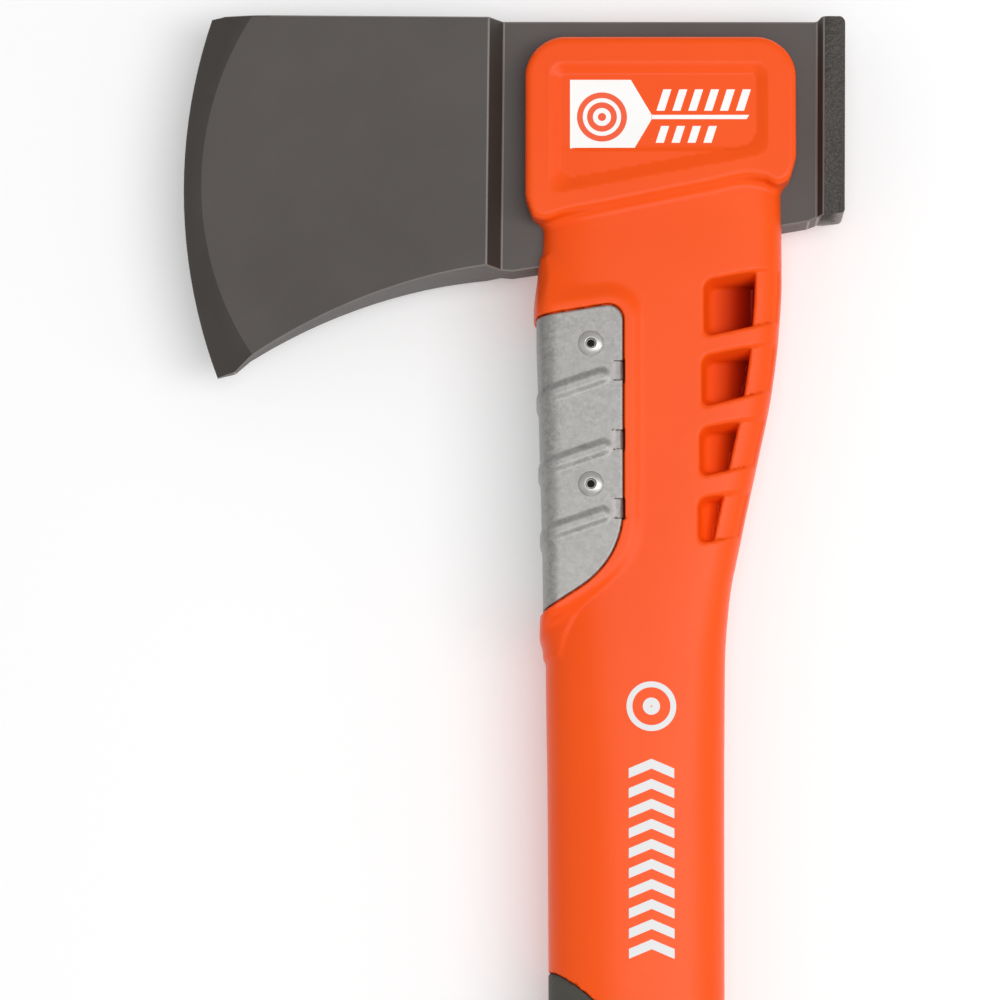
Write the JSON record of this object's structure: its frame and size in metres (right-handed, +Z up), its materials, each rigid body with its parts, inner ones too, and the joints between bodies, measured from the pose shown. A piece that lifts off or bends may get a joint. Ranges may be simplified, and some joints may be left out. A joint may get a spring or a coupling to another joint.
{
  "type": "felling axe",
  "caption": "Short felling axe with a wedge-shaped forged head, hammer poll, hollow moulded handle, steel overstrike guard and soft grip.",
  "frame": {"origin": "middle of the axe's length and width, on the table side of the axe as it lies flat", "axes": "+Y along the handle towards the top of the head, +X from the cutting edge towards the poll, +Z up out of the table"},
  "size_m": [0.172, 0.6, 0.034],
  "materials": {
    "forged_steel": "dark grey-brown coated forged steel, satin",
    "orange_nylon": "orange glass-filled nylon, fine spark-eroded texture",
    "galvanised_sheet": "galvanised sheet steel with faint spangle",
    "grip_rubber": "dark grey thermoplastic elastomer, matt",
    "dark_plastic": "black moulded plastic",
    "rivet_metal": "bright aluminium",
    "mandrel_steel": "dull steel"
  },
  "bodies": {
    "root": {"axe_head": "forged_steel", "handle_body": "orange_nylon", "overstrike_guard": "galvanised_sheet", "soft_grip": "grip_rubber", "butt_plug": "dark_plastic", "rivet_1": "rivet_metal", "rivet_2": "rivet_metal", "rivet_3": "rivet_metal", "rivet_4": "rivet_metal", "rivet_mandrel_1": "mandrel_steel", "rivet_mandrel_2": "mandrel_steel", "rivet_mandrel_3": "mandrel_steel", "rivet_mandrel_4": "mandrel_steel"}
  },
  "joints": []
}
